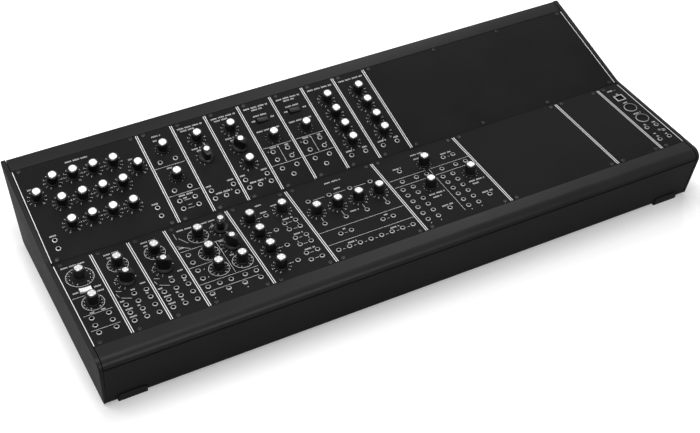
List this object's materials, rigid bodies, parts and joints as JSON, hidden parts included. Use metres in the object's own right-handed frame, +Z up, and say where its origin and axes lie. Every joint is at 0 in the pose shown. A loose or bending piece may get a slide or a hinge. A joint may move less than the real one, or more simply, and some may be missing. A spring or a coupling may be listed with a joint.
{
  "type": "modular synthesizer",
  "caption": "Modular synthesizer in a low two-row desktop case: black panels with turning knobs, selectors, rocker switches and patch sockets, blank panels at the right.",
  "frame": {"origin": "centre of the footprint, on the surface that the feet stand on", "axes": "+X along the rows to the right as the player sees it, +Y to the rear, +Z up"},
  "size_m": [0.7228, 0.3, 0.1074],
  "materials": {
    "panel_black": "fine matt black paint with white print",
    "case_black": "satin black powder coat",
    "rail_metal": "black anodised extrusion",
    "knob_plastic": "moulded black",
    "knob_cap": "spun, bright",
    "rocker_white": "moulded white",
    "print_white": "screen print",
    "socket_metal": "bright nickel",
    "socket_black": "moulded black",
    "screw_black": "blackened steel",
    "foot_rubber": "matt",
    "board_green": "lacquered circuit board"
  },
  "bodies": {
    "case": {"base_tub": "case_black", "left_cheek": "case_black", "right_cheek": "case_black", "front_bezel": "case_black", "rear_bezel": "case_black", "front_rail": "rail_metal", "middle_rail": "rail_metal", "rear_rail": "rail_metal", "foot_front_left": "foot_rubber", "foot_front_right": "foot_rubber", "foot_rear_left": "foot_rubber", "foot_rear_right": "foot_rubber", "power_unit": "board_green", "oscillator_driver_panel": "panel_black", "oscillator_a_panel": "panel_black", "oscillator_b_panel": "panel_black", "large_oscillator_panel": "panel_black", "mixer_panel": "panel_black", "attenuators_panel": "panel_black", "switch_matrix_panel": "panel_black", "blank_wide_panel": "panel_black", "blank_narrow_panel": "panel_black", "midi_interface_panel": "panel_black", "filter_bank_panel": "panel_black", "dual_filter_panel": "panel_black", "high_pass_filter_panel": "panel_black", "low_pass_filter_panel": "panel_black", "amplifier_a_panel": "panel_black", "amplifier_b_panel": "panel_black", "envelope_a_panel": "panel_black", "envelope_b_panel": "panel_black", "blank_long_panel": "panel_black"},
    "power_switch": {"power_switch": "knob_plastic"},
    "oscillator_driver_knob_1": {"oscillator_driver_knob_1": "knob_plastic"},
    "oscillator_driver_knob_2": {"oscillator_driver_knob_2": "knob_plastic"},
    "oscillator_driver_rocker": {"oscillator_driver_rocker": "rocker_white"},
    "oscillator_a_knob": {"oscillator_a_knob": "knob_plastic"},
    "oscillator_a_selector": {"oscillator_a_selector": "knob_plastic"},
    "oscillator_b_knob": {"oscillator_b_knob": "knob_plastic"},
    "oscillator_b_selector": {"oscillator_b_selector": "knob_plastic"},
    "large_oscillator_knob_1": {"large_oscillator_knob_1": "knob_plastic"},
    "large_oscillator_knob_2": {"large_oscillator_knob_2": "knob_plastic"},
    "large_oscillator_knob_3": {"large_oscillator_knob_3": "knob_plastic"},
    "large_oscillator_knob_4": {"large_oscillator_knob_4": "knob_plastic"},
    "large_oscillator_selector_1": {"large_oscillator_selector_1": "knob_plastic"},
    "large_oscillator_selector_2": {"large_oscillator_selector_2": "knob_plastic"},
    "switch_matrix_knob_1": {"switch_matrix_knob_1": "knob_plastic"},
    "switch_matrix_knob_2": {"switch_matrix_knob_2": "knob_plastic"},
    "switch_matrix_knob_3": {"switch_matrix_knob_3": "knob_plastic"},
    "dual_filter_knob_1": {"dual_filter_knob_1": "knob_plastic"},
    "dual_filter_knob_2": {"dual_filter_knob_2": "knob_plastic"},
    "high_pass_filter_knob": {"high_pass_filter_knob": "knob_plastic"},
    "high_pass_filter_selector": {"high_pass_filter_selector": "knob_plastic"},
    "low_pass_filter_knob_1": {"low_pass_filter_knob_1": "knob_plastic"},
    "low_pass_filter_knob_2": {"low_pass_filter_knob_2": "knob_plastic"},
    "low_pass_filter_selector": {"low_pass_filter_selector": "knob_plastic"},
    "amplifier_a_knob": {"amplifier_a_knob": "knob_plastic"},
    "amplifier_a_rocker": {"amplifier_a_rocker": "knob_plastic"},
    "amplifier_b_knob": {"amplifier_b_knob": "knob_plastic"},
    "amplifier_b_rocker": {"amplifier_b_rocker": "knob_plastic"}
  },
  "joints": [
    {"name": "power_switch_tilt", "type": "hinge", "parent": "case", "child": "power_switch", "pos_m": [-0.25, 0.13744, 0.046], "axis": [0, 0.2079, 0.9781], "range_deg": [-10, 0]},
    {"name": "oscillator_driver_knob_1_turn", "type": "hinge", "parent": "case", "child": "oscillator_driver_knob_1", "pos_m": [-0.33528, -0.02473, 0.0679], "axis": [0, 0, 1], "range_deg": [-300, 0]},
    {"name": "oscillator_driver_knob_2_turn", "type": "hinge", "parent": "case", "child": "oscillator_driver_knob_2", "pos_m": [-0.33528, -0.06598, 0.0679], "axis": [0, 0, 1], "range_deg": [-300, 0]},
    {"name": "oscillator_driver_rocker_tilt", "type": "hinge", "parent": "case", "child": "oscillator_driver_rocker", "pos_m": [-0.33642, -0.04632, 0.0679], "axis": [0, 1, 0], "range_deg": [-10, 0]},
    {"name": "oscillator_a_knob_turn", "type": "hinge", "parent": "case", "child": "oscillator_a_knob", "pos_m": [-0.29464, -0.02473, 0.0679], "axis": [0, 0, 1], "range_deg": [-300, 0]},
    {"name": "oscillator_a_selector_turn", "type": "hinge", "parent": "case", "child": "oscillator_a_selector", "pos_m": [-0.29464, -0.05197, 0.0679], "axis": [0, 0, 1], "range_deg": [-60, 90]},
    {"name": "oscillator_b_knob_turn", "type": "hinge", "parent": "case", "child": "oscillator_b_knob", "pos_m": [-0.254, -0.02473, 0.0679], "axis": [0, 0, 1], "range_deg": [-300, 0]},
    {"name": "oscillator_b_selector_turn", "type": "hinge", "parent": "case", "child": "oscillator_b_selector", "pos_m": [-0.254, -0.05197, 0.0679], "axis": [0, 0, 1], "range_deg": [-60, 90]},
    {"name": "large_oscillator_knob_1_turn", "type": "hinge", "parent": "case", "child": "large_oscillator_knob_1", "pos_m": [-0.20417, -0.02151, 0.0679], "axis": [0, 0, 1], "range_deg": [-300, 0]},
    {"name": "large_oscillator_knob_2_turn", "type": "hinge", "parent": "case", "child": "large_oscillator_knob_2", "pos_m": [-0.20417, -0.05146, 0.0679], "axis": [0, 0, 1], "range_deg": [-300, 0]},
    {"name": "large_oscillator_knob_3_turn", "type": "hinge", "parent": "case", "child": "large_oscillator_knob_3", "pos_m": [-0.20417, -0.07793, 0.0679], "axis": [0, 0, 1], "range_deg": [-300, 0]},
    {"name": "large_oscillator_knob_4_turn", "type": "hinge", "parent": "case", "child": "large_oscillator_knob_4", "pos_m": [-0.17778, -0.07793, 0.0679], "axis": [0, 0, 1], "range_deg": [-300, 0]},
    {"name": "large_oscillator_selector_1_turn", "type": "hinge", "parent": "case", "child": "large_oscillator_selector_1", "pos_m": [-0.17778, -0.02151, 0.0679], "axis": [0, 0, 1], "range_deg": [-150, 0]},
    {"name": "large_oscillator_selector_2_turn", "type": "hinge", "parent": "case", "child": "large_oscillator_selector_2", "pos_m": [-0.17778, -0.05146, 0.0679], "axis": [0, 0, 1], "range_deg": [-30, 120]},
    {"name": "switch_matrix_knob_1_turn", "type": "hinge", "parent": "case", "child": "switch_matrix_knob_1", "pos_m": [0.06826, -0.02486, 0.0679], "axis": [0, 0, 1], "range_deg": [-300, 0]},
    {"name": "switch_matrix_knob_2_turn", "type": "hinge", "parent": "case", "child": "switch_matrix_knob_2", "pos_m": [0.05525, -0.06225, 0.0679], "axis": [0, 0, 1], "range_deg": [-300, 0]},
    {"name": "switch_matrix_knob_3_turn", "type": "hinge", "parent": "case", "child": "switch_matrix_knob_3", "pos_m": [0.10613, -0.06225, 0.0679], "axis": [0, 0, 1], "range_deg": [-300, 0]},
    {"name": "dual_filter_knob_1_turn", "type": "hinge", "parent": "case", "child": "dual_filter_knob_1", "pos_m": [-0.19304, 0.10366, 0.09327], "axis": [0, -0.2588, 0.9659], "range_deg": [-300, 0]},
    {"name": "dual_filter_knob_2_turn", "type": "hinge", "parent": "case", "child": "dual_filter_knob_2", "pos_m": [-0.19304, 0.06381, 0.08259], "axis": [0, -0.2588, 0.9659], "range_deg": [-300, 0]},
    {"name": "high_pass_filter_knob_turn", "type": "hinge", "parent": "case", "child": "high_pass_filter_knob", "pos_m": [-0.1524, 0.10353, 0.09323], "axis": [0, -0.2588, 0.9659], "range_deg": [-300, 0]},
    {"name": "high_pass_filter_selector_turn", "type": "hinge", "parent": "case", "child": "high_pass_filter_selector", "pos_m": [-0.1524, 0.07709, 0.08615], "axis": [0, -0.2588, 0.9659], "range_deg": [0, 150]},
    {"name": "low_pass_filter_knob_1_turn", "type": "hinge", "parent": "case", "child": "low_pass_filter_knob_1", "pos_m": [-0.11176, 0.10353, 0.09323], "axis": [0, -0.2588, 0.9659], "range_deg": [-300, 0]},
    {"name": "low_pass_filter_knob_2_turn", "type": "hinge", "parent": "case", "child": "low_pass_filter_knob_2", "pos_m": [-0.11176, 0.05227, 0.0795], "axis": [0, -0.2588, 0.9659], "range_deg": [-300, 0]},
    {"name": "low_pass_filter_selector_turn", "type": "hinge", "parent": "case", "child": "low_pass_filter_selector", "pos_m": [-0.11176, 0.07709, 0.08615], "axis": [0, -0.2588, 0.9659], "range_deg": [-30, 120]},
    {"name": "amplifier_a_knob_turn", "type": "hinge", "parent": "case", "child": "amplifier_a_knob", "pos_m": [-0.07112, 0.07585, 0.08582], "axis": [0, -0.2588, 0.9659], "range_deg": [-300, 0]},
    {"name": "amplifier_a_rocker_tilt", "type": "hinge", "parent": "case", "child": "amplifier_a_rocker", "pos_m": [-0.07214, 0.10254, 0.09297], "axis": [0, 0.9659, 0.2588], "range_deg": [-10, 0]},
    {"name": "amplifier_b_knob_turn", "type": "hinge", "parent": "case", "child": "amplifier_b_knob", "pos_m": [-0.03048, 0.07585, 0.08582], "axis": [0, -0.2588, 0.9659], "range_deg": [-300, 0]},
    {"name": "amplifier_b_rocker_tilt", "type": "hinge", "parent": "case", "child": "amplifier_b_rocker", "pos_m": [-0.0315, 0.10254, 0.09297], "axis": [0, 0.9659, 0.2588], "range_deg": [-10, 0]}
  ]
}
